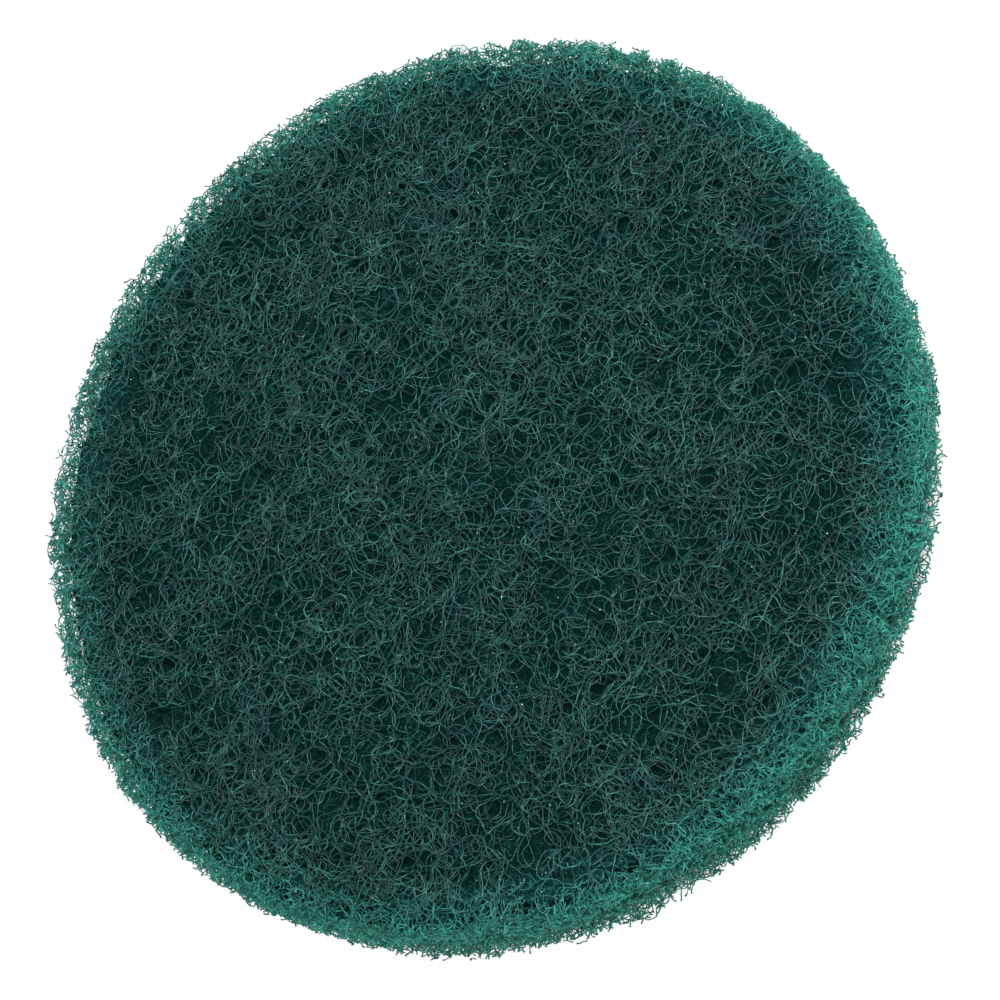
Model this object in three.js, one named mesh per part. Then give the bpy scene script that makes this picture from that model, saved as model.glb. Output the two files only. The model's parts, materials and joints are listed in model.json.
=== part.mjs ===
// A round scouring pad for a drill: one slab of nonwoven web, crimped nylon fibres bonded
// with green abrasive resin, die-cut to a disc. Sizes are in millimetres and +Z is up.
// The pad lies on its back face, and the origin is the middle of that face.
import * as THREE from "three";

// The disc
const padDiameter = 100;
const padThickness = 10.5;
const edgeRadius = 1.8; // the die-cut edge is softened where a face turns into the wall

// The web of a face: bundles of fibres stand at full height around open hollows
const webRings = 26; // rings of web points between the middle of a face and its edge
const webScatter = 0.45; // how far a web point strays from its even place
const hollowSpacing = 3.2; // least distance between the middles of two hollows
const hollowWidth = 4.6;
const hollowDepth = 2.2;
const flatSpotDiameter = 9; // unbroken web in the middle of each face, where the pad is held

// The cut wall: the same web seen edge on, with nicks where fibres were cut away
const wallRows = 4; // rows of web points between the two rounded edges
const nickSpacing = 2.9;
const nickWidth = 3.6;
const nickDepth = 1;

// Seeds of the two faces and the wall, so that each has a web of its own
const frontSeed = 5;
const backSeed = 17;
const wallSeed = 41;

const padRadius = padDiameter / 2;
const faceRadius = padRadius - edgeRadius;
const pointsAround = 6 * webRings; // a ring holds six points more than the ring inside it
const leastShare = 0.5; // the smallest hollow, as a share of the largest one

// A seeded generator of even random numbers from 0 to 1.
function seededRandom(seed) {
  let state = seed;
  return () => {
    state = (state + 0x6d2b79f5) | 0;
    let mixed = Math.imul(state ^ (state >>> 15), 1 | state);
    mixed = (mixed + Math.imul(mixed ^ (mixed >>> 7), 61 | mixed)) ^ mixed;
    return ((mixed ^ (mixed >>> 14)) >>> 0) / 2 ** 32;
  };
}

// A bowl-shaped hollow in a web, at a point of it.
class Hollow {
  constructor(middle, width, depth) {
    this.middle = middle;
    this.reach = width / 2;
    this.depth = depth;
  }

  depthAt(point) {
    const share = this.middle.distanceTo(point) / this.reach;
    return this.depth * Math.max(0, 1 - share * share);
  }
}

// Opens hollows of mixed sizes among the points of a web, in random order and never closer
// than the spacing. Points that stay(point) picks out keep their place.
function openHollows(points, { spacing, width, depth, stay }, random) {
  const shuffled = points
    .filter((point) => !stay(point))
    .map((point) => ({ point, rank: random() }))
    .sort((a, b) => a.rank - b.rank);
  const hollows = [];
  for (const { point } of shuffled) {
    if (hollows.some(({ middle }) => middle.distanceTo(point) < spacing)) continue;
    const size = leastShare + (1 - leastShare) * random();
    hollows.push(new Hollow(point, width * size, depth * size));
  }
  return hollows;
}

// How deep the web lies at each of its points.
function webDepths(points, web, random) {
  const hollows = openHollows(points, web, random);
  return points.map((point) =>
    web.stay(point) ? 0 : Math.max(...hollows.map((hollow) => hollow.depthAt(point))),
  );
}

// The rings of points that one face is woven on. Ring 0 is the middle point alone, and ring
// n has 6 n points. Each ring between it and the edge is turned at random against the last.
function faceRings(random) {
  return Array.from({ length: webRings + 1 }, (_, number) => {
    const count = 6 * number;
    const first = number === 0 ? 0 : 1 + 3 * number * (number - 1);
    const turned = number > 0 && number < webRings;
    const turn = turned ? (2 * Math.PI * random()) / count : 0;
    return {
      count,
      radius: (faceRadius * number) / webRings,
      angleAt: (step) => turn + (2 * Math.PI * step) / count,
      indexOf: (step) => first + (count === 0 ? 0 : step % count),
    };
  });
}

// The plan of one face. The outermost ring is even, because the wall starts there.
function facePlan(rings, random) {
  const plan = [new THREE.Vector2(0, 0)];
  for (const ring of rings.slice(1)) {
    const most = ring === rings.at(-1) ? 0 : webScatter;
    for (let step = 0; step < ring.count; step++) {
      const place = polar(ring.radius, ring.angleAt(step));
      plan.push(place.add(polar(most * random(), 2 * Math.PI * random())));
    }
  }
  return plan;
}

function polar(radius, angle) {
  return new THREE.Vector2(radius * Math.cos(angle), radius * Math.sin(angle));
}

// The triangles between the rings of a face, as indices into its plan, turning anticlockwise.
// A strip steps on along whichever of its two rings has its next point first.
function faceTriangles(rings) {
  const triangles = [];
  for (const [number, outer] of rings.entries()) {
    if (number === 0) continue;
    const inner = rings[number - 1];
    let [i, j] = [0, 0];
    while (i < inner.count || j < outer.count) {
      const outerFirst = outer.angleAt(j + 1) <= inner.angleAt(i + 1);
      if (j < outer.count && (i === inner.count || outerFirst)) {
        triangles.push([inner.indexOf(i), outer.indexOf(j), outer.indexOf(j + 1)]);
        j++;
      } else {
        triangles.push([inner.indexOf(i), outer.indexOf(j), inner.indexOf(i + 1)]);
        i++;
      }
    }
  }
  return triangles;
}

// One face of the pad, as points in space and triangles between them that face outwards.
// side is +1 for the front and -1 for the back.
function padFace(side, seed) {
  const random = seededRandom(seed);
  const rings = faceRings(random);
  const plan = facePlan(rings, random);
  const edge = faceRadius - webScatter;
  const web = {
    spacing: hollowSpacing,
    width: hollowWidth,
    depth: hollowDepth,
    stay: (point) => point.length() < flatSpotDiameter / 2 || point.length() > edge,
  };
  const depths = webDepths(plan, web, random);
  const level = side > 0 ? padThickness : 0;
  return {
    points: plan.map(({ x, y }, i) => new THREE.Vector3(x, y, level - side * depths[i])),
    triangles: faceTriangles(rings).map(([a, b, c]) => (side > 0 ? [a, b, c] : [a, c, b])),
  };
}

// The heights of the wall's rows with how far each lies inside the full radius, from the
// front edge down to the back edge. A rounded edge has one row half-way round its arc.
function wallProfile() {
  const arcInset = edgeRadius * (1 - Math.SQRT1_2);
  const straight = padThickness - 2 * edgeRadius;
  const rows = [{ height: padThickness - arcInset, inset: arcInset }];
  for (let row = 0; row <= wallRows; row++) {
    rows.push({ height: padThickness - edgeRadius - (straight * row) / wallRows, inset: 0 });
  }
  rows.push({ height: arcInset, inset: arcInset });
  return rows;
}

// The points of the wall, row after row, with nicks opened on the unrolled wall.
function wallPoints() {
  const random = seededRandom(wallSeed);
  const profile = wallProfile();
  const places = profile.flatMap(({ height, inset }) =>
    Array.from({ length: pointsAround }, (_, step) => {
      const angle = (2 * Math.PI * step) / pointsAround;
      return { angle, height, inset };
    }),
  );
  const unrolled = places.map(
    ({ angle, height }) => new THREE.Vector2(angle * padRadius, height),
  );
  const web = { spacing: nickSpacing, width: nickWidth, depth: nickDepth, stay: () => false };
  const depths = webDepths(unrolled, web, random);
  return places.map(({ angle, height, inset }, i) => {
    const radius = padRadius - inset - depths[i];
    return new THREE.Vector3(radius * Math.cos(angle), radius * Math.sin(angle), height);
  });
}

// The quads of the wall as triangles. rows lists the first index of each row, from the
// front face's outer ring down to the back face's.
function wallTriangles(rows) {
  const triangles = [];
  for (let row = 0; row + 1 < rows.length; row++) {
    for (let step = 0; step < pointsAround; step++) {
      const next = (step + 1) % pointsAround;
      const [upper, lower] = [rows[row], rows[row + 1]];
      triangles.push([upper + step, lower + step, lower + next]);
      triangles.push([upper + step, lower + next, upper + next]);
    }
  }
  return triangles;
}

// The whole pad: front face, back face and wall sewn into one closed surface.
function padGeometry() {
  const front = padFace(1, frontSeed);
  const back = padFace(-1, backSeed);
  const backStart = front.points.length;
  const wallStart = backStart + back.points.length;
  const outerRing = front.points.length - pointsAround;
  const wallRowStarts = wallProfile().map((_, row) => wallStart + row * pointsAround);
  const triangles = [
    ...front.triangles,
    ...back.triangles.map((triangle) => triangle.map((index) => backStart + index)),
    ...wallTriangles([outerRing, ...wallRowStarts, backStart + outerRing]),
  ];
  const points = [...front.points, ...back.points, ...wallPoints()];
  const geometry = new THREE.BufferGeometry().setFromPoints(points);
  geometry.setIndex(triangles.flat());
  geometry.computeVertexNormals();
  return geometry;
}

const resinCoatedNylon = new THREE.MeshStandardMaterial({
  color: 0x214a43,
  roughness: 0.85,
  metalness: 0,
});

const scouringPad = new THREE.Mesh(padGeometry(), resinCoatedNylon);
scouringPad.name = "scouring_pad";

const pad = new THREE.Group();
pad.add(scouringPad);

export default pad;
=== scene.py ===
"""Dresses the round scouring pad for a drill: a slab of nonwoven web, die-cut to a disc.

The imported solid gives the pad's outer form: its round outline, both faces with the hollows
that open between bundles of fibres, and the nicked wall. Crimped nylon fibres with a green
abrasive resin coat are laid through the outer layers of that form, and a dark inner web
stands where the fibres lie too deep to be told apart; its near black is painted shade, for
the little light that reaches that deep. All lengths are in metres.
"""

import json
import math
from typing import NamedTuple

import bmesh
import bpy
import numpy as np
from bpy.props import FloatProperty, FloatVectorProperty, IntProperty, PointerProperty
from mathutils import Matrix, Vector
from mathutils.bvhtree import BVHTree
from mathutils.kdtree import KDTree

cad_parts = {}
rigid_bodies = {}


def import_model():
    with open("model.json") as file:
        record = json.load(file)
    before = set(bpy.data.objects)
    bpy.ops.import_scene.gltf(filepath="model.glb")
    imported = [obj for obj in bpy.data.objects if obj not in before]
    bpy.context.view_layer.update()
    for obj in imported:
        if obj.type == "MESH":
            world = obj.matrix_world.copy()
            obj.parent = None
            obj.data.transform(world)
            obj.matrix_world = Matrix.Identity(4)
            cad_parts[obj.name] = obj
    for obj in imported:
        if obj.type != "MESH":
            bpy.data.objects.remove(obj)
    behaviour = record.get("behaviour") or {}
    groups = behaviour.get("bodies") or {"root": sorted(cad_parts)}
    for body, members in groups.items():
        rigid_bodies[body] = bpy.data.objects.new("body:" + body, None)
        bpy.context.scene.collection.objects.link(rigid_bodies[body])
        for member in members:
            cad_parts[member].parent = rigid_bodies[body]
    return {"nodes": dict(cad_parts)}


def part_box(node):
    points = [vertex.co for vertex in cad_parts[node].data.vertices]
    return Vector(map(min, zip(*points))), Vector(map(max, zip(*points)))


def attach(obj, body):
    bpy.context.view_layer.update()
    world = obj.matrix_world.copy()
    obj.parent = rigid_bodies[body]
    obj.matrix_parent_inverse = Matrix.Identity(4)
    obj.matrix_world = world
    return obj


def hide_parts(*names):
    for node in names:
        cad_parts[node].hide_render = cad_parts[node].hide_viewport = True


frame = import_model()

bl_info = {
    "name": "Scouring pad",
    "version": (1, 0, 0),
    "blender": (4, 5, 0),
    "location": "3D View > Sidebar > Scouring pad",
    "description": "Builds the fibres, inner web and studio of a round scouring pad",
    "category": "Object",
}

MM = 0.001
PAD = "scouring_pad"
BODY = "root"

PAD_LOW, PAD_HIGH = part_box(PAD)
RADIUS = (PAD_HIGH.x - PAD_LOW.x) / 2
THICKNESS = PAD_HIGH.z - PAD_LOW.z
MIDDLE = (PAD_HIGH + PAD_LOW) / 2
FULL_TURN = 2 * math.pi
GOLDEN_ANGLE = math.pi * (3 - math.sqrt(5))

# The materials, by name
FIBRE_COAT = "resin_coated_nylon_fibre"
SHADED_WEB = "shaded_nylon_web"
BARE_GRIT = "aluminium_oxide_grit"
MATT_FLOOR = "matt_studio_floor"

# How fibres are swept, and the most triangles that each piece of the web may have
SIDES = 3  # of a fibre's section
TRIANGLES_A_STEP = 2 * SIDES
CAP_TRIANGLES = 2 * (SIDES - 2)
FRONT_TRIANGLES = 152_000
WALL_TRIANGLES = 143_000
BACK_TRIANGLES = 60_000
WELD = 0.001 * MM  # points nearer than this are one

# Each piece has its own seed, so that its fibres stay as they are when another changes
FRONT_SEED = 11
BACK_SEED = 23
WALL_SEED = 37
GRIT_SEED = 53
INNER_SEED = 67

STEEPEST_SWING = 0.8  # the most that a swing adds to a fibre's climb, as its slope
STEEPEST_CLIMB = 0.9
LOOSE_SPREAD = 1.5  # of strands, as shares of the usual spread
TIGHT_SPREAD = 0.3
RIM_BAND = 2 * MM  # width of the rim where the nicks of the wall reach in
LAID_BEYOND = 5 * MM  # how far outside the wall fibres still start, so that the rim fills
RIM_RUN = 3 * MM  # the same on both sides of the open web of the wall
SKIN = 0.6  # depth of a fibre's middle under the face it touches, in fibre widths
CROWDING = 1.5  # above 1, more of a face's fibres lie near its surface
FACE_SWING = (0.2 * MM, 1.4 * MM)  # least and most that a face's fibre dips
WALL_SWING = (0.4 * MM, 2.4 * MM)  # the same for the wall's, up and down
WALL_TOP = 0.8 * MM  # depth under the front face that the wall's fibres start from
WALL_CLEAR = 0.4 * MM  # depth that they keep to
EDGE_SHARE = 0.14  # share of the wall's fibres that fill its upper edge
EDGE_DEPTHS = (0.6 * MM, 2 * MM)  # where those lie
FACE_FOLLOWED = 0.7  # how closely fibres follow the dips of the face, as a share
RIM_FOLLOWED = 0.3  # the same for its rounded edge
FEWEST_POINTS = 3  # of a run that is kept

# The inner web's rim, roughened so that its edge doesn't show as a line through the fibres
HELD = 0.8 * RADIUS  # its relief keeps its place under the face as far out as this
RAGGED_BAND = 1.5 * MM  # points this near the rim are drawn in by up to the share below
RAGGED_SHARE = 0.016
FINER_BAND = 2.5 * MM  # edges this near the rim are divided
ROUGH_BAND = 2 * MM  # points this near the rim are moved by up to the length below
ROUGHNESS = 0.25 * MM

# Sizes of the patterns in the materials
COAT_PATCH = 0.7 * MM  # where the resin coat is thick or thin
BLUE_PATCH = 6 * MM  # where strands are bluer
GRIT_PATCH = 0.16 * MM  # where grit roughens the coat
# Fibres drawn on the inner web: the size of their curls, and their width as a share of the
# usual one
DRAWN_FIBRES = ((1.7 * MM, 0.6), (1.2 * MM, 0.8), (0.85 * MM, 1), (0.6 * MM, 1.3))

# The studio
FLOOR_REACH = 40 * RADIUS
FLOOR_GLOW = 0.96  # how white the camera sees the floor
SHADOW_STRENGTH = 0.07  # how much of the pad's shadow it sees there
KEY_PLACE = (4 * RADIUS, -1 * RADIUS, 9 * RADIUS)
KEY_SIZE = 2.5 * RADIUS
KEY_POWER = 1.6  # watts
LENS_SHIFT = (0.0258, -0.0172)


def linear(hex_colour):
    """A hex colour as linear red, green and blue."""
    values = [int(hex_colour[i : i + 2], 16) / 255 for i in (1, 3, 5)]
    return tuple(
        v / 12.92 if v <= 0.04045 else ((v + 0.055) / 1.055) ** 2.4 for v in values
    )


def length(name, description, default):
    return FloatProperty(
        name=name,
        description=description,
        default=default,
        min=0,
        precision=6,
        unit="LENGTH",
    )


def colour(name, description, hex_colour):
    return FloatVectorProperty(
        name=name,
        description=description,
        default=linear(hex_colour),
        min=0,
        max=1,
        subtype="COLOR",
    )


def share(name, description, default):
    return FloatProperty(
        name=name,
        description=description,
        default=default,
        min=0,
        max=1,
        subtype="FACTOR",
    )


def amount(name, description, default):
    return IntProperty(name=name, description=description, default=default, min=1)


class FibreSettings(bpy.types.PropertyGroup):
    """The crimped fibres and how they run through the web."""

    width: length("Width", "Width of a fibre with its resin coat", 0.1 * MM)
    wall_width: length("Wall width", "Width of a fibre at the cut wall", 0.155 * MM)
    step: length("Step", "Length between two points of a fibre's path", 0.58 * MM)
    deep_step: length("Deep step", "The same for fibres deep in the web", 0.84 * MM)
    wall_step: length("Wall step", "The same for fibres at the cut wall", 0.4 * MM)
    crimp: length("Crimp", "How far the crimp throws a fibre up and down", 0.085 * MM)
    run: length("Run", "Length of a fibre", 27 * MM)
    curl: length("Curl", "Usual bending radius of the crimp", 1.1 * MM)
    memory: length("Memory", "Length over which a curl keeps its bend", 1.15 * MM)
    rise: length("Rise", "Length over which a fibre swings up or down", 3.2 * MM)
    wall_curl: length("Wall curl", "Usual bending radius at the wall", 0.9 * MM)
    wall_memory: length("Wall memory", "Length that a bend lasts at the wall", 0.6 * MM)
    wall_rise: length("Wall rise", "Length of an upward swing at the wall", 2.2 * MM)
    strand_spread: length("Strand spread", "How far fibres of a strand lie apart", 0.4 * MM)
    strand_size: amount("Strand size", "Fibres that run side by side in a strand", 3)
    kinship: share("Kinship", "How closely fibres of a strand bend alike", 0.55)
    tight_share: share("Tight strands", "Share of strands that keep together", 0.16)
    tight_kinship: share("Tight kinship", "How closely their fibres bend alike", 0.98)
    uneven: share("Uneven", "How much a resin coat's thickness varies", 0.16)
    bead_share: share("Beads", "Share of path points where resin gathers", 0.03)
    bead_width: FloatProperty(
        name="Bead width",
        description="Width of a resin bead, in fibre widths",
        default=1.6,
        min=1,
    )
    end_width: FloatProperty(
        name="End width",
        description="Width of a cut end, in fibre widths",
        default=1.45,
        min=1,
    )


class WebSettings(bpy.types.PropertyGroup):
    """Where the fibres lie in the pad."""

    front_depth: length("Front depth", "Depth of open web seen from the front", 1.25 * MM)
    back_depth: length("Back depth", "Depth of open web seen from the back", 1.0 * MM)
    rim_depth: length("Rim depth", "Depth of open web seen from the wall", 1.3 * MM)
    hollow_least: length("Hollow depth", "Depth from which a dip is a hollow", 0.9 * MM)
    hollow_spacing: length("Hollow spacing", "Least distance between hollows", 5 * MM)
    hollow_reach: length("Hollow reach", "How far a hollow bends fibres aside", 2.2 * MM)
    hollow_open: length("Hollow opening", "Radius that a hollow keeps clear", 0.5 * MM)
    stand_out: length("Stand-out", "How far the cut ends mostly reach", 0.45 * MM)
    blend: length("Blend", "How far fibres of the rim run in over the face", 2 * MM)
    fringe: length("Fringe", "How unevenly they reach", 0.16 * MM)
    deep: length("Deep", "Depth from which fibres need less detail", 0.7 * MM)
    grain: length("Grain", "Size of a mineral grain held by the resin", 0.16 * MM)
    front_upper: amount("Front fibres", "Fibres near the front face", 1560)
    front_lower: amount("Deeper front fibres", "Fibres under those", 710)
    back_upper: amount("Back fibres", "Fibres near the back face", 220)
    back_lower: amount("Deeper back fibres", "Fibres above those", 70)
    wall_count: amount("Wall fibres", "Fibres of the rim", 6350)
    grain_count: amount("Grains", "Grains that catch the light", 420)


class ColourSettings(bpy.types.PropertyGroup):
    """The resin's greens."""

    # Also the painted shade that deeper fibres are darkened towards
    deep: colour("Deep green", "Resin where it is thickest", "#113c39")
    green: colour("Green", "Resin as it mostly looks", "#21675f")
    pale: colour("Pale green", "Thin resin, where the nylon shows through", "#4a9f94")
    # Partly painted light: this livelier green also stands in for the light on the wall and rim
    fresh: colour("Fresh green", "Thin resin of the web's middle, at the cut wall", "#54e6ce")
    blue: colour("Blue green", "Resin of bluer strands", "#145560")
    through: colour("Light let through", "Light that thin resin lets through", "#a0e8dc")
    # Painted shade: the near black of the web that lies too deep for light to reach
    dark: colour("Dark web", "The web too deep to see into", "#0b2321")
    # Painted shade: fibres deep in the web, dimmed for the little light that reaches them
    dim: colour("Dim fibres", "Fibres of the web deep down", "#1e5750")
    mineral: colour("Mineral", "Bare mineral grains", "#cfd8d2")
    floor: colour("Floor", "Studio floor", "#f4f4f4")


class StudioSettings(bpy.types.PropertyGroup):
    """The camera and lamps."""

    elevation: FloatProperty(
        name="Elevation",
        description="Camera's height above the pad's plane",
        default=math.radians(60.1),
        subtype="ANGLE",
    )
    roll: FloatProperty(
        name="Roll",
        description="How far the picture is turned anticlockwise",
        default=math.radians(52.7),
        subtype="ANGLE",
    )
    distance: length("Distance", "From the camera to the pad's middle", 5.99 * RADIUS)
    lens: FloatProperty(
        name="Lens", description="Focal length in millimetres", default=100.3, min=1
    )
    sky: FloatProperty(
        name="Sky", description="Strength of the soft light overhead", default=0.4, min=0
    )
    horizon: FloatProperty(
        name="Horizon", description="Strength of the white walls' light", default=0.95, min=0
    )


def remove_object(thing):
    data = thing.data
    bpy.data.objects.remove(thing)
    if data is not None and data.users == 0:
        bpy.data.batch_remove([data])


def link(thing):
    bpy.context.scene.collection.objects.link(thing)
    return thing


def dress(piece, material):
    """Gives a finished piece its material and its place in the frame."""
    piece.data.materials.clear()
    piece.data.materials.append(material)
    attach(piece, BODY)
    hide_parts(PAD)


class PadForm:
    """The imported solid, as the form that the web fills."""

    def __init__(self):
        shape = bmesh.new()
        shape.from_mesh(frame["nodes"][PAD].data)
        self.tree = BVHTree.FromBMesh(shape)
        self.corners = np.array([v.co for v in shape.verts])
        shape.free()

    def level(self, x, y, side):
        """Height of a face over a point of the plan; side is 1 for the front, -1 for the back."""
        start = Vector((x, y, MIDDLE.z + side * THICKNESS))
        hit = self.tree.ray_cast(start, Vector((0, 0, -side)))[0]
        if hit is None:
            hit = self.tree.find_nearest(start)[0]
        return hit.z

    def wall(self, x, y, z):
        """Radius of the wall beside a point, at the point's own height."""
        out = Vector((x, y, 0)).normalized()
        edge = 0.12 * THICKNESS
        within = min(max(z, PAD_LOW.z + edge), PAD_HIGH.z - edge)
        start = out * (2 * RADIUS) + Vector((0, 0, within))
        hit = self.tree.ray_cast(start, -out)[0]
        return RADIUS if hit is None else Vector((hit.x, hit.y)).length

    def hollows(self, side, least, spacing):
        """Middles of the hollows in a face: its deepest points, no two closer than the spacing."""
        level = PAD_HIGH.z if side > 0 else PAD_LOW.z
        depth = side * (level - self.corners[:, 2])
        reach = np.hypot(self.corners[:, 0], self.corners[:, 1])
        deep = (depth > least) & (depth < THICKNESS / 2 - least) & (reach < RADIUS - spacing)
        order = np.argsort(-depth[deep], kind="stable")
        middles = []
        for place in self.corners[deep][order][:, :2]:
            if all(np.hypot(*(place - other)) >= spacing for other in middles):
                middles.append(place)
        return np.array(middles)


class Crimp(NamedTuple):
    """How the fibres of one layer curl, and the length of a step along them."""

    step: float
    curl: float
    memory: float
    rise: float
    kink: tuple  # share of the crimp's throw along x, y and z


def crimped_walks(rng, strands, levels, crimp, fibre):
    """Paths of crimped fibres, as an array of fibre, point and x, y, z.

    A fibre's heading turns by a curvature that wanders, so that it coils into open curls and
    loops, and its height swings between its own two levels. Fibres come in strands, whose
    members start side by side and bend more or less alike.
    """
    starts, kinship = strands
    step = crimp.step
    count = len(starts)
    points = max(3, round(fibre.run / step))
    strand = np.arange(count) // fibre.strand_size
    own = np.sqrt(1 - kinship**2)

    def kindred():
        shared = rng.normal(size=strand[-1] + 1)[strand]
        return kinship * shared + own * rng.normal(size=count)

    keep = math.exp(-step / crimp.memory)
    fresh = math.sqrt(1 - keep**2)
    bend, swing = kindred(), kindred()
    heading = rng.uniform(0, FULL_TURN, strand[-1] + 1)[strand] + own * rng.normal(size=count)
    phase = rng.uniform(0, FULL_TURN, strand[-1] + 1)[strand] + own * rng.normal(size=count)
    middle = levels.mean(axis=1)
    half = np.maximum(np.ptp(levels, axis=1) / 2, fibre.width / 4)
    steepest = STEEPEST_SWING * step / half
    place = np.column_stack([starts, middle + half * np.sin(phase)])
    path = np.empty((count, points, 3))
    for i in range(points):
        path[:, i] = place
        bend = keep * bend + fresh * kindred()
        swing = keep * swing + fresh * kindred()
        heading += bend * step / crimp.curl
        phase += np.clip(swing * step * math.pi / crimp.rise, -steepest, steepest)
        height = middle + half * np.sin(phase)
        climb = np.clip((height - place[:, 2]) / step, -STEEPEST_CLIMB, STEEPEST_CLIMB)
        flat = step * np.sqrt(1 - climb**2)
        place[:, 0] += flat * np.cos(heading)
        place[:, 1] += flat * np.sin(heading)
        place[:, 2] = height
    throw = rng.normal(size=path.shape).clip(-2, 2)
    return path + fibre.crimp * np.array(crimp.kink) * throw


def lay_strands(rng, count, inner, outer, fibre):
    """Where fibres start and how alike they bend, for strands spread evenly over a ring."""
    strands = -(-count // fibre.strand_size)
    number = rng.permutation(strands) + rng.random(strands)
    radius = np.sqrt(inner**2 + (outer**2 - inner**2) * number / strands)
    angle = number * GOLDEN_ANGLE
    middles = np.column_stack([radius * np.cos(angle), radius * np.sin(angle)])
    tight = rng.random(strands) < fibre.tight_share
    kinship = np.where(tight, fibre.tight_kinship, fibre.kinship)
    spread = fibre.strand_spread * np.where(tight, TIGHT_SPREAD, LOOSE_SPREAD)
    starts, kinship, spread = (
        np.repeat(values, fibre.strand_size, axis=0)[:count]
        for values in (middles, kinship, spread)
    )
    return starts + spread[:, None] * rng.normal(size=starts.shape), kinship


def part_round_hollows(paths, hollows, web):
    """Bends the fibres that cross a hollow aside, so that they ring its dark opening."""
    tree = KDTree(len(hollows))
    for i, (x, y) in enumerate(hollows):
        tree.insert((x, y, 0), i)
    tree.balance()
    flat = paths.reshape(-1, 3)
    for point in flat:
        middle, _, away = tree.find((point[0], point[1], 0))
        if 0 < away < web.hollow_reach:
            squeezed = 1 - web.hollow_open / web.hollow_reach
            target = web.hollow_open + away * squeezed
            point[0] = middle[0] + (point[0] - middle[0]) * target / away
            point[1] = middle[1] + (point[1] - middle[1]) * target / away
    return flat.reshape(paths.shape)


def follow_face(paths, form, side, depth):
    """Lowers a layer of web into the dips of a face and over its rounded edge."""
    level = PAD_HIGH.z if side > 0 else PAD_LOW.z
    base = level - side * depth
    flat = paths.reshape(-1, 3)
    for point in flat:
        surface = form.level(point[0], point[1], side)
        at_rim = math.hypot(point[0], point[1]) > RADIUS - RIM_BAND
        followed = RIM_FOLLOWED if at_rim else FACE_FOLLOWED
        share_left = 1 - followed * (level - surface) / (level - base)
        point[2] = base + (point[2] - base) * share_left
    return flat.reshape(paths.shape)


def cut_runs(paths, form, web, reach, inner):
    """The stretches of each path that lie inside the die-cut wall and outside the inner web.

    reach is how far each fibre stands out of the wall, and inner the least radius it runs to.
    """
    runs = []
    near_wall = RADIUS - RIM_BAND
    core, low, high = core_shape(web)
    for path, stand_out, least in zip(paths, reach, inner):
        radius = np.hypot(path[:, 0], path[:, 1])
        inside = radius < near_wall
        for i in np.flatnonzero((radius >= near_wall) & (radius < RADIUS + RIM_BAND)):
            nick = RADIUS - form.wall(*path[i])
            inside[i] = radius[i] < RADIUS - nick + stand_out
        buried = (radius < core) & (path[:, 2] > low) & (path[:, 2] < high)
        seen = inside & ~buried & (radius > least)
        kept = seen | inside & (np.roll(seen, 1) | np.roll(seen, -1))
        edges = np.flatnonzero(np.diff(np.concatenate([[0], kept.view(np.int8), [0]])))
        runs += [path[a:b] for a, b in edges.reshape(-1, 2) if b - a >= FEWEST_POINTS]
    return runs


def fibre_section(width):
    """The section that every fibre is swept with, as a closed flat curve."""
    outline = bpy.data.curves.new("fibre_section", "CURVE")
    spline = outline.splines.new("POLY")
    spline.points.add(SIDES - 1)
    for i, point in enumerate(spline.points):
        angle = FULL_TURN * i / SIDES
        point.co = (width / 2 * math.cos(angle), width / 2 * math.sin(angle), 0, 1)
    spline.use_cyclic_u = True
    return link(bpy.data.objects.new("fibre_section", outline))


def sweep_fibres(name, runs, width, rng, fibre):
    """One piece of the web: every run swept with the fibre's section, closed at its ends.

    Each fibre's own shade is kept in the mesh as the attribute fibre_shade.
    """
    section = fibre_section(width)
    curve = bpy.data.curves.new(name, "CURVE")
    curve.dimensions = "3D"
    curve.bevel_mode = "OBJECT"
    curve.bevel_object = section
    curve.use_fill_caps = True
    shades = []
    for run in runs:
        spline = curve.splines.new("POLY")
        spline.points.add(len(run) - 1)
        spline.points.foreach_set("co", np.column_stack([run, np.ones(len(run))]).ravel())
        thick = 1 + fibre.uneven * rng.normal(size=len(run)).clip(-2, 2)
        thick[rng.random(len(run)) < fibre.bead_share] *= fibre.bead_width
        thick[[0, -1]] *= fibre.end_width
        spline.points.foreach_set("radius", thick)
        capped = len(run) + 2  # each cap has a section of its own
        shades.append(np.full(capped * SIDES, rng.random()))
    swept = link(bpy.data.objects.new(name, curve))
    graph = bpy.context.evaluated_depsgraph_get()
    mesh = bpy.data.meshes.new_from_object(swept.evaluated_get(graph))
    remove_object(swept)
    remove_object(section)
    shade = np.concatenate(shades)
    if len(mesh.vertices) != len(shade):
        raise RuntimeError(f"{name} has {len(mesh.vertices)} vertices, not {len(shade)}")
    layer = mesh.attributes.new("fibre_shade", "FLOAT", "POINT")
    layer.data.foreach_set("value", shade.astype(np.float32))
    mesh.name = name
    shape = bmesh.new()
    shape.from_mesh(mesh)
    bmesh.ops.remove_doubles(shape, verts=shape.verts, dist=WELD)
    bmesh.ops.recalc_face_normals(shape, faces=shape.faces)
    shape.to_mesh(mesh)
    shape.free()
    mesh.polygons.foreach_set("use_smooth", np.ones(len(mesh.polygons), bool))
    return link(bpy.data.objects.new(name, mesh))


def triangles_of(run):
    return (len(run) - 1) * TRIANGLES_A_STEP + CAP_TRIANGLES


def portions(runs, pieces, most):
    """Deals runs out to a number of pieces, each filled to its limit of triangles."""
    dealt = [[] for _ in range(pieces)]
    filled = [0] * pieces
    for i, run in enumerate(runs):
        piece = i % pieces
        if filled[piece] + triangles_of(run) <= most:
            dealt[piece].append(run)
            filled[piece] += triangles_of(run)
    return dealt


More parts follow.
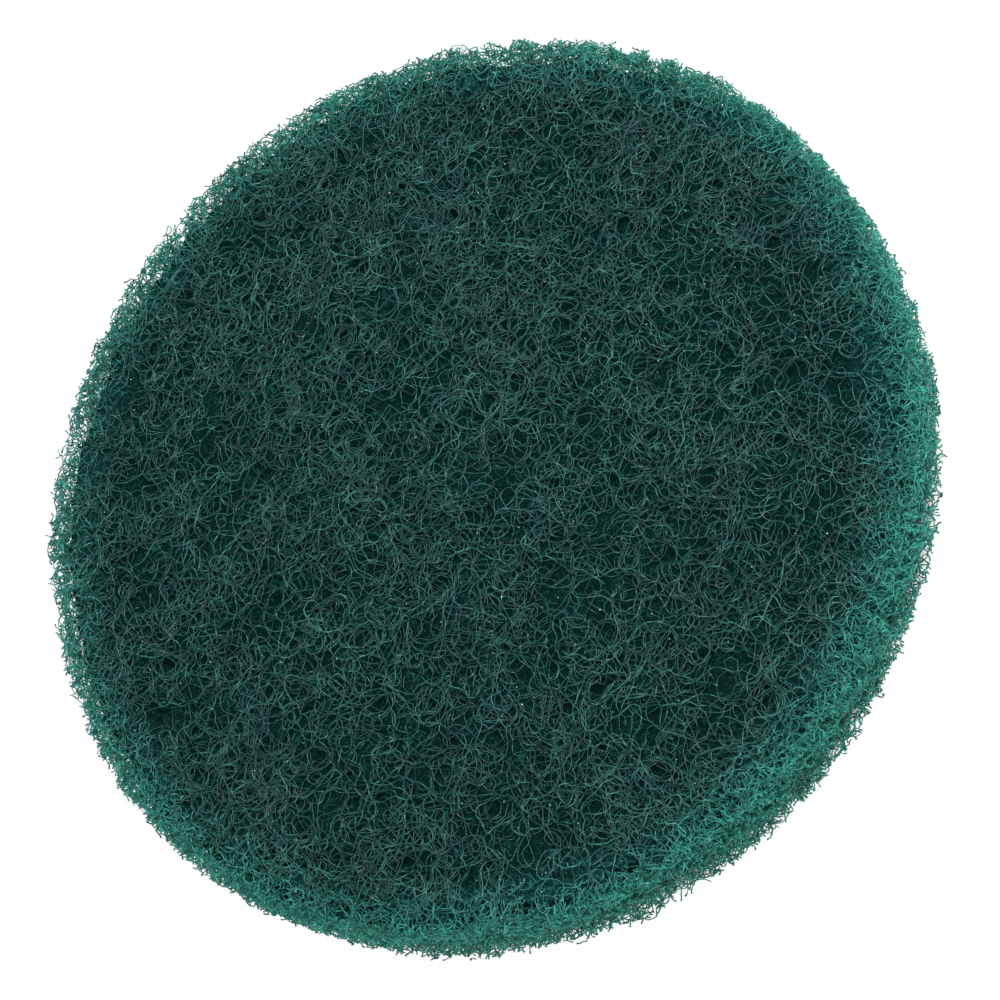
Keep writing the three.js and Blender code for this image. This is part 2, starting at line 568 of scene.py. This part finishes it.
def add_node(tree, kind, settings=None, **links):
    """Adds a node, with its settings by name and its inputs by name or place as links."""
    node = tree.nodes.new(kind)
    for name, value in (settings or {}).items():
        setattr(node, name, value)
    for key, value in links.items():
        words = key.replace("_", " ")
        socket = node.inputs[int(key[1:])] if key[1:].isdigit() else node.inputs[words]
        if isinstance(value, bpy.types.NodeSocket):
            tree.links.new(value, socket)
        else:
            socket.default_value = value
    return node


def new_material(name):
    material = bpy.data.materials.new(name)
    material.use_nodes = True
    material.node_tree.nodes.clear()
    return material, material.node_tree


def finish_material(tree, shader):
    output = tree.nodes.new("ShaderNodeOutputMaterial")
    tree.links.new(shader, output.inputs["Surface"])


def opaque(rgb):
    return (*rgb, 1.0)


def mixed(tree, factor, first, second):
    """A colour between two others."""
    node = add_node(
        tree, "ShaderNodeMix", {"data_type": "RGBA"}, i0=factor, i6=first, i7=second
    )
    return node.outputs[2]


def from_axis(tree, where):
    """Distance from the pad's axis."""
    flat = add_node(
        tree, "ShaderNodeVectorMath", {"operation": "MULTIPLY"}, i0=where, i1=(1, 1, 0)
    )
    radius = add_node(
        tree, "ShaderNodeVectorMath", {"operation": "LENGTH"}, i0=flat.outputs[0]
    )
    return radius.outputs["Value"]


def maths(tree, operation, *values):
    """The result of an operation on numbers and on other nodes' results."""
    links = {f"i{place}": value for place, value in enumerate(values)}
    return add_node(tree, "ShaderNodeMath", {"operation": operation}, **links).outputs[0]


def stretched(tree, value, low, high, least, most):
    """A value moved from one range to another, and held at its ends."""
    node = add_node(
        tree, "ShaderNodeMapRange", i0=value, i1=low, i2=high, i3=least, i4=most
    )
    return node.outputs[0]


def noise(tree, where, size, detail, distortion=0.0):
    """A soft random pattern with patches of about the given size."""
    node = add_node(
        tree,
        "ShaderNodeTexNoise",
        Vector=where,
        Scale=1 / size,
        Detail=detail,
        Distortion=distortion,
    )
    return node.outputs["Fac"]


def nearness(tree, where, inner, outer, power):
    """0 over the middle of a face, rising to 1 between two distances from the axis."""
    rising = stretched(tree, from_axis(tree, where), inner, outer, 0.0, 1.0)
    return maths(tree, "POWER", rising, power)


def below_face(tree, where, least, most):
    """0 at a face, rising to 1 between two depths under it."""
    height = add_node(tree, "ShaderNodeSeparateXYZ", Vector=where).outputs["Z"]
    away = maths(tree, "ABSOLUTE", maths(tree, "SUBTRACT", height, MIDDLE.z))
    face = THICKNESS / 2
    return stretched(tree, away, face - least, face - most, 0.0, 1.0)


def wall_share(tree, where):
    """1 at the cut wall, 0 over the faces and up to their edges."""
    outermost = nearness(tree, where, RADIUS - 3 * MM, RADIUS - 1.3 * MM, 1.0)
    return maths(tree, "MULTIPLY", outermost, below_face(tree, where, 0.5 * MM, 1.8 * MM))


def fibre_material(name, colours):
    """Crimped nylon fibre, sprayed with green phenolic resin that holds fine grit.

    The coat runs from deep to pale green with its thickness and sets off single fibres; grit
    roughens it, so that a fibre glints in short dashes and not in one line. Fibres that lie
    deeper are painted darker, as painted shade for the light that reaches them less. The wall
    is cut through fresh, thinly coated fibres, so it and the rim are a livelier green and let
    some light through, up to darker tips; that livelier green is also painted light, for the
    light that reaches the wall and rim from the sides and from behind.
    """
    material, tree = new_material(name)
    shade = add_node(tree, "ShaderNodeAttribute", {"attribute_name": "fibre_shade"})
    where = add_node(tree, "ShaderNodeTexCoord").outputs["Object"]
    coat = stretched(tree, noise(tree, where, COAT_PATCH, 1.0), 0.3, 0.7, 0.0, 0.65)
    tone = maths(tree, "MULTIPLY_ADD", shade.outputs["Fac"], 0.35, coat)
    ramp = add_node(tree, "ShaderNodeValToRGB", i0=tone)
    stops = ramp.color_ramp.elements
    stops[0].position, stops[0].color = 0.1, opaque(colours.deep)
    stops[1].position, stops[1].color = 0.95, opaque(colours.pale)
    middle = stops.new(0.5)
    middle.color = opaque(colours.green)
    bluer = stretched(tree, noise(tree, where, BLUE_PATCH, 2.0), 0.58, 0.72, 0.0, 0.6)
    face = mixed(tree, bluer, ramp.outputs["Color"], opaque(colours.blue))
    # Painted shade: fibres deeper under the face are darkened towards the deep green
    painted_depth_shade = maths(tree, "MULTIPLY", below_face(tree, where, 0.2 * MM, 1.2 * MM), 0.6)
    face = mixed(tree, painted_depth_shade, face, opaque(colours.deep))

    # Painted light in part: the wall and the rim get a livelier, brighter green, for their thin
    # fresh coat and for the light that reaches them from the sides and from behind
    lively = stretched(tree, tone, 0.2, 0.8, 0.0, 1.0)
    cut = mixed(tree, lively, opaque(colours.green), opaque(colours.fresh))
    rim = nearness(tree, where, RADIUS - 7 * MM, RADIUS - 1 * MM, 1.5)
    base = mixed(tree, maths(tree, "MULTIPLY", rim, 0.65), face, cut)
    base = mixed(tree, wall_share(tree, where), base, cut)
    away = from_axis(tree, where)
    tips = stretched(tree, away, RADIUS + 0.3 * MM, RADIUS + 0.6 * MM, 0.0, 0.7)
    base = mixed(tree, tips, base, opaque(colours.blue))

    gloss = stretched(tree, noise(tree, where, GRIT_PATCH, 1.0), 0.3, 0.7, 0.25, 0.5)
    coated = add_node(
        tree,
        "ShaderNodeBsdfPrincipled",
        Base_Color=base,
        Roughness=gloss,
        IOR=1.6,
        Specular_IOR_Level=0.7,
        Specular_Tint=(0.88, 1, 0.98, 1),
    )
    through = add_node(tree, "ShaderNodeBsdfTranslucent", Color=opaque(colours.through))
    thin = nearness(tree, where, RADIUS - 5 * MM, RADIUS - 1 * MM, 1.0)
    lit_through = add_node(
        tree,
        "ShaderNodeMixShader",
        i0=maths(tree, "MULTIPLY", thin, 0.4),
        i1=coated.outputs[0],
        i2=through.outputs[0],
    )
    finish_material(tree, lit_through.outputs[0])
    return material


def inner_material(name, colours):
    """The same web deep in the pad, where little light comes.

    It is painted near black, as painted shade for the little light there, with the dim lines
    of fibres, drawn as level lines of a noise because those curl and close as the crimp does.
    Towards the rim it is painted lighter with the fibres, as painted light for the light that
    gets in through the thinner web there.
    """
    material, tree = new_material(name)
    where = add_node(tree, "ShaderNodeTexCoord").outputs["Object"]
    lines = None
    for size, width in DRAWN_FIBRES:
        level = maths(tree, "SUBTRACT", noise(tree, where, size, 0.0, 0.4), 0.5)
        away = maths(tree, "ABSOLUTE", level)
        line = stretched(tree, away, 0.006 * width, 0.02 * width, 1.0, 0.0)
        lines = line if lines is None else maths(tree, "MAXIMUM", lines, line)
    # Painted light: towards the rim, where light gets in through the thinner web, the gaps and the
    # drawn fibres are painted lighter
    rim = nearness(tree, where, RADIUS - 7 * MM, RADIUS - 1.5 * MM, 1.0)
    gaps = mixed(tree, rim, opaque(colours.dark), opaque(colours.deep))
    drawn = mixed(tree, rim, opaque(colours.dim), opaque(colours.pale))
    base = mixed(tree, lines, gaps, drawn)
    bump = add_node(tree, "ShaderNodeBump", Height=lines, Strength=0.8, Distance=0.2 * MM)
    shader = add_node(
        tree,
        "ShaderNodeBsdfPrincipled",
        Base_Color=base,
        Normal=bump.outputs[0],
        Roughness=0.9,
        Specular_IOR_Level=0.0,
    )
    finish_material(tree, shader.outputs[0])
    return material


def mineral_material(name, colours):
    """Aluminium oxide grit that the resin left bare: pale, hard and glassy, so it glints."""
    material, tree = new_material(name)
    where = add_node(tree, "ShaderNodeTexCoord").outputs["Object"]
    facets = noise(tree, where, 0.5 * MM, 2.0)
    base = mixed(tree, facets, opaque(colours.mineral), opaque(colours.pale))
    shader = add_node(
        tree, "ShaderNodeBsdfPrincipled", Base_Color=base, Roughness=0.2, IOR=1.76
    )
    finish_material(tree, shader.outputs[0])
    return material


def material_for(name, make):
    """Makes a material once, and finds it again for the next piece."""
    made = bpy.data.materials.get(name)
    return made or make(name, bpy.context.scene.pad_colours)


def core_shape(web):
    """The radius of the inner web and the levels that it lies between."""
    return RADIUS - web.rim_depth, PAD_LOW.z + web.back_depth, PAD_HIGH.z - web.front_depth


class PadOperator:
    """What the pad's operators share."""

    bl_options = {"REGISTER", "UNDO"}

    @property
    def fibre(self):
        return bpy.context.scene.pad_fibres

    @property
    def web(self):
        return bpy.context.scene.pad_web


class SCOURPAD_OT_inner_web(PadOperator, bpy.types.Operator):
    """Builds the dark inner web from the solid, drawn in from its faces and wall."""

    bl_idname = "scourpad.inner_web"
    bl_label = "Inner web"

    def execute(self, context):
        radius, low, high = core_shape(self.web)
        shape = bmesh.new()
        shape.from_mesh(frame["nodes"][PAD].data)
        bmesh.ops.remove_doubles(shape, verts=shape.verts, dist=WELD)
        for vert in shape.verts:
            away = math.hypot(vert.co.x, vert.co.y)
            if away > HELD:
                drawn_in = HELD + (away - HELD) * (radius - HELD) / (RADIUS - HELD)
                vert.co.x *= drawn_in / away
                vert.co.y *= drawn_in / away
            vert.co.z = low + (vert.co.z - PAD_LOW.z) * (high - low) / THICKNESS
        rng = np.random.default_rng(INNER_SEED)
        for vert in shape.verts:
            if math.hypot(vert.co.x, vert.co.y) > radius - RAGGED_BAND:
                drawn_in = 1 - rng.uniform(0, RAGGED_SHARE)
                vert.co *= Vector((drawn_in, drawn_in, 1))
        rim = [
            edge
            for edge in shape.edges
            if all(
                math.hypot(vert.co.x, vert.co.y) > radius - FINER_BAND for vert in edge.verts
            )
        ]
        bmesh.ops.subdivide_edges(shape, edges=rim, cuts=2, use_grid_fill=True)
        for vert in shape.verts:
            if math.hypot(vert.co.x, vert.co.y) > radius - ROUGH_BAND:
                vert.co += Vector(rng.uniform(-ROUGHNESS, ROUGHNESS, 3))
        bmesh.ops.triangulate(shape, faces=shape.faces)
        bmesh.ops.recalc_face_normals(shape, faces=shape.faces)
        mesh = bpy.data.meshes.new("inner_web")
        shape.to_mesh(mesh)
        shape.free()
        mesh.polygons.foreach_set("use_smooth", np.ones(len(mesh.polygons), bool))
        piece = link(bpy.data.objects.new("inner_web", mesh))
        dress(piece, material_for(SHADED_WEB, inner_material))
        return {"FINISHED"}


def face_layer(side, counts, depth, seed, fibre, web):
    """The fibres of a face, from its surface down to the inner web.

    counts are of the fibres near the surface and of those deeper down.
    """
    rng = np.random.default_rng(seed)
    form = PadForm()
    level = PAD_HIGH.z if side > 0 else PAD_LOW.z
    skin = fibre.width * SKIN
    hollows = form.hollows(side, web.hollow_least, web.hollow_spacing)
    layers = ((skin, web.deep, fibre.step), (web.deep, depth, fibre.deep_step))
    runs = []
    for count, (upper, lower, step) in zip(counts, layers):
        strands = lay_strands(rng, count, 0, RADIUS + LAID_BEYOND, fibre)
        top = upper + (lower - upper) * rng.uniform(0, 1, count) ** CROWDING
        bottom = np.minimum(top + rng.uniform(*FACE_SWING, count), depth)
        levels = np.column_stack([level - side * top, level - side * bottom])
        crimp = Crimp(step, fibre.curl, fibre.memory, fibre.rise, (0, 0, 1))
        paths = crimped_walks(rng, strands, levels, crimp, fibre)
        paths = part_round_hollows(paths, hollows, web)
        paths = follow_face(paths, form, side, depth)
        reach = rng.normal(web.stand_out, web.fringe, count)
        runs += cut_runs(paths, form, web, reach, np.zeros(count))
    order = rng.permutation(len(runs))
    return [runs[i] for i in order], rng


class SCOURPAD_OT_front_web(PadOperator, bpy.types.Operator):
    """Lays the fibres of the front face, in three pieces."""

    bl_idname = "scourpad.front_web"
    bl_label = "Front web"

    def execute(self, context):
        fibre, web = self.fibre, self.web
        counts = (web.front_upper, web.front_lower)
        runs, rng = face_layer(1, counts, web.front_depth, FRONT_SEED, fibre, web)
        for i, portion in enumerate(portions(runs, 3, FRONT_TRIANGLES)):
            piece = sweep_fibres(f"front_web_{i + 1}", portion, fibre.width, rng, fibre)
            dress(piece, material_for(FIBRE_COAT, fibre_material))
        return {"FINISHED"}


class SCOURPAD_OT_back_web(PadOperator, bpy.types.Operator):
    """Lays the fibres of the back face."""

    bl_idname = "scourpad.back_web"
    bl_label = "Back web"

    def execute(self, context):
        fibre, web = self.fibre, self.web
        counts = (web.back_upper, web.back_lower)
        runs, rng = face_layer(-1, counts, web.back_depth, BACK_SEED, fibre, web)
        for portion in portions(runs, 1, BACK_TRIANGLES):
            piece = sweep_fibres("back_web", portion, fibre.width, rng, fibre)
            dress(piece, material_for(FIBRE_COAT, fibre_material))
        return {"FINISHED"}


class SCOURPAD_OT_cut_wall(PadOperator, bpy.types.Operator):
    """Lays the fibres of the rim through the pad's thickness, cut off at the wall."""

    bl_idname = "scourpad.cut_wall"
    bl_label = "Cut wall"

    def execute(self, context):
        fibre, web = self.fibre, self.web
        rng = np.random.default_rng(WALL_SEED)
        form = PadForm()
        count = web.wall_count
        core = core_shape(web)[0]
        strands = lay_strands(rng, count, core - RIM_RUN, RADIUS + RIM_RUN, fibre)
        skin = fibre.wall_width * SKIN
        middle = rng.uniform(PAD_LOW.z + skin, PAD_HIGH.z - WALL_TOP, count)
        at_edge = rng.random(count) < EDGE_SHARE
        middle[at_edge] = PAD_HIGH.z - rng.uniform(*EDGE_DEPTHS, at_edge.sum())
        half = rng.uniform(*WALL_SWING, count)
        lower = np.maximum(middle - half, PAD_LOW.z + skin)
        upper = np.minimum(middle + half, PAD_HIGH.z - WALL_CLEAR)
        ends = np.column_stack([lower, upper])
        crimp = Crimp(
            fibre.wall_step, fibre.wall_curl, fibre.wall_memory, fibre.wall_rise, (1, 1, 1)
        )
        paths = crimped_walks(rng, strands, ends, crimp, fibre)
        reach = rng.normal(web.stand_out, web.fringe, count)
        inner = core - np.abs(rng.normal(0, web.blend, count))
        runs = cut_runs(paths, form, web, reach, inner)
        runs = [runs[i] for i in rng.permutation(len(runs))]
        for i, portion in enumerate(portions(runs, 3, WALL_TRIANGLES)):
            name = f"wall_web_{i + 1}"
            piece = sweep_fibres(name, portion, fibre.wall_width, rng, fibre)
            dress(piece, material_for(FIBRE_COAT, fibre_material))
        return {"FINISHED"}


class SCOURPAD_OT_grit(PadOperator, bpy.types.Operator):
    """Scatters bare mineral grains over the front web."""

    bl_idname = "scourpad.grit"
    bl_label = "Grit"

    def execute(self, context):
        web = self.web
        rng = np.random.default_rng(GRIT_SEED)
        form = PadForm()
        shape = bmesh.new()
        for _ in range(web.grain_count):
            radius = (RADIUS - 1 * MM) * math.sqrt(rng.random())
            angle = FULL_TURN * rng.random()
            x, y = radius * math.cos(angle), radius * math.sin(angle)
            z = form.level(x, y, 1) - 0.3 * MM * rng.random()
            turn = Matrix.Rotation(FULL_TURN * rng.random(), 4, Vector(rng.normal(size=3)))
            size = web.grain / 2 * rng.uniform(0.6, 1.2)
            place = Matrix.Translation((x, y, z)) @ turn
            bmesh.ops.create_icosphere(shape, subdivisions=1, radius=size, matrix=place)
        mesh = bpy.data.meshes.new("mineral_grit")
        shape.to_mesh(mesh)
        shape.free()
        piece = link(bpy.data.objects.new("mineral_grit", mesh))
        dress(piece, material_for(BARE_GRIT, mineral_material))
        return {"FINISHED"}


def floor_material(name, colours):
    """A matt white sweep. The camera sees it near white, with the pad's shadow kept pale.

    Under the pad it gives no light of its own, so that nothing shines up through the web;
    that dark disc is a painted shadow where the pad rests.
    """
    material, tree = new_material(name)
    rays = add_node(tree, "ShaderNodeLightPath").outputs
    seen = maths(tree, "MAXIMUM", rays["Is Camera Ray"], rays["Is Glossy Ray"])
    seen = maths(tree, "MAXIMUM", seen, rays["Is Transmission Ray"])
    where = add_node(tree, "ShaderNodeTexCoord").outputs["Object"]
    away = add_node(tree, "ShaderNodeVectorMath", {"operation": "LENGTH"}, Vector=where)
    # Painted shadow: the glow the camera sees fades out to none in a disc just inside the pad's
    # rim
    glow_outside_painted_shadow = add_node(
        tree,
        "ShaderNodeMapRange",
        {"interpolation_type": "SMOOTHSTEP"},
        i0=away.outputs["Value"],
        i1=RADIUS - 2.5 * MM,
        i2=RADIUS - 0.3 * MM,
        i3=0.0,
        i4=FLOOR_GLOW,
    )
    plain = add_node(tree, "ShaderNodeBsdfDiffuse", Color=opaque(colours.floor))
    faint = add_node(tree, "ShaderNodeBsdfDiffuse", Color=opaque(3 * (SHADOW_STRENGTH,)))
    glow = add_node(
        tree, "ShaderNodeEmission", Color=opaque((1, 1, 1)), Strength=glow_outside_painted_shadow.outputs[0]
    )
    bright = add_node(tree, "ShaderNodeAddShader", i0=faint.outputs[0], i1=glow.outputs[0])
    mix = add_node(
        tree, "ShaderNodeMixShader", i0=seen, i1=plain.outputs[0], i2=bright.outputs[0]
    )
    finish_material(tree, mix.outputs[0])
    return material


class SCOURPAD_OT_studio(bpy.types.Operator):
    """Sets the floor, the light and the camera."""

    bl_idname = "scourpad.studio"
    bl_label = "Studio"
    bl_options = {"REGISTER", "UNDO"}

    def execute(self, context):
        scene = context.scene
        studio = scene.pad_studio
        self.lay_floor()
        scene.world = self.soft_light(studio)
        self.add_lamp("key_light", KEY_PLACE, KEY_SIZE, KEY_POWER)
        self.add_camera(scene, studio)
        scene.view_settings.view_transform = "Standard"
        return {"FINISHED"}

    def lay_floor(self):
        shape = bmesh.new()
        bmesh.ops.create_grid(shape, x_segments=1, y_segments=1, size=FLOOR_REACH)
        mesh = bpy.data.meshes.new("studio_floor")
        shape.to_mesh(mesh)
        shape.free()
        floor = link(bpy.data.objects.new("studio_floor", mesh))
        mesh.materials.append(material_for(MATT_FLOOR, floor_material))

    def soft_light(self, studio):
        """White walls all round that dim towards the ceiling. The camera sees plain white."""
        world = bpy.data.worlds.new("studio_light")
        world.use_nodes = True
        tree = world.node_tree
        tree.nodes.clear()
        rays = add_node(tree, "ShaderNodeLightPath")
        direction = add_node(tree, "ShaderNodeTexCoord").outputs["Generated"]
        height = add_node(tree, "ShaderNodeSeparateXYZ", Vector=direction).outputs["Z"]
        strength = stretched(tree, height, 0.0, 0.8, studio.horizon, studio.sky)
        white = opaque((1, 1, 1))
        even = add_node(tree, "ShaderNodeBackground", Color=white, Strength=strength)
        seen = add_node(tree, "ShaderNodeBackground", Color=white, Strength=1.0)
        mix = add_node(
            tree,
            "ShaderNodeMixShader",
            i0=rays.outputs["Is Camera Ray"],
            i1=even.outputs[0],
            i2=seen.outputs[0],
        )
        output = tree.nodes.new("ShaderNodeOutputWorld")
        tree.links.new(mix.outputs[0], output.inputs["Surface"])
        return world

    def add_lamp(self, name, place, size, power):
        lamp = bpy.data.lights.new(name, "AREA")
        lamp.shape = "DISK"
        lamp.size = size
        lamp.energy = power
        thing = link(bpy.data.objects.new(name, lamp))
        thing.location = place
        aim = MIDDLE - Vector(place)
        thing.rotation_mode = "QUATERNION"
        thing.rotation_quaternion = aim.to_track_quat("-Z", "Y")

    def add_camera(self, scene, studio):
        """Looks down at the pad's middle from the near side, and turns with the roll."""
        rise, roll = studio.elevation, studio.roll
        back = Vector((0, -math.cos(rise), math.sin(rise)))
        across = Vector((1, 0, 0))
        upward = back.cross(across)
        right = math.cos(roll) * across - math.sin(roll) * upward
        up = math.sin(roll) * across + math.cos(roll) * upward
        lens = bpy.data.cameras.new("camera")
        lens.lens = studio.lens
        lens.sensor_width = 36
        lens.shift_x, lens.shift_y = LENS_SHIFT
        lens.clip_start = 10 * MM
        camera = link(bpy.data.objects.new("camera", lens))
        turn = Matrix((right, up, back)).transposed().to_4x4()
        camera.matrix_world = Matrix.Translation(MIDDLE + back * studio.distance) @ turn
        scene.camera = camera


PIECE_OPERATORS = (
    SCOURPAD_OT_studio,
    SCOURPAD_OT_inner_web,
    SCOURPAD_OT_front_web,
    SCOURPAD_OT_back_web,
    SCOURPAD_OT_cut_wall,
    SCOURPAD_OT_grit,
)


class SCOURPAD_PT_panel(bpy.types.Panel):
    """Lists the pad's pieces and their settings."""

    bl_idname = "SCOURPAD_PT_panel"
    bl_label = "Scouring pad"
    bl_space_type = "VIEW_3D"
    bl_region_type = "UI"
    bl_category = "Scouring pad"

    def draw(self, context):
        for operator in PIECE_OPERATORS:
            self.layout.operator(operator.bl_idname)
        for group in ("pad_fibres", "pad_web", "pad_colours", "pad_studio"):
            settings = getattr(context.scene, group)
            box = self.layout.box()
            for name in settings.__annotations__:
                box.prop(settings, name)


SETTINGS = {
    "pad_fibres": FibreSettings,
    "pad_web": WebSettings,
    "pad_colours": ColourSettings,
    "pad_studio": StudioSettings,
}


def register():
    for kind in (*SETTINGS.values(), *PIECE_OPERATORS, SCOURPAD_PT_panel):
        bpy.utils.register_class(kind)
    for name, kind in SETTINGS.items():
        setattr(bpy.types.Scene, name, PointerProperty(type=kind))


def unregister():
    for name in SETTINGS:
        delattr(bpy.types.Scene, name)
    for kind in (SCOURPAD_PT_panel, *PIECE_OPERATORS, *SETTINGS.values()):
        bpy.utils.unregister_class(kind)


def main():
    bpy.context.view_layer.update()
    register()
    for operator in PIECE_OPERATORS:
        name = operator.bl_idname.split(".")[1]
        getattr(bpy.ops.scourpad, name)()


if __name__ == "__main__":
    main()
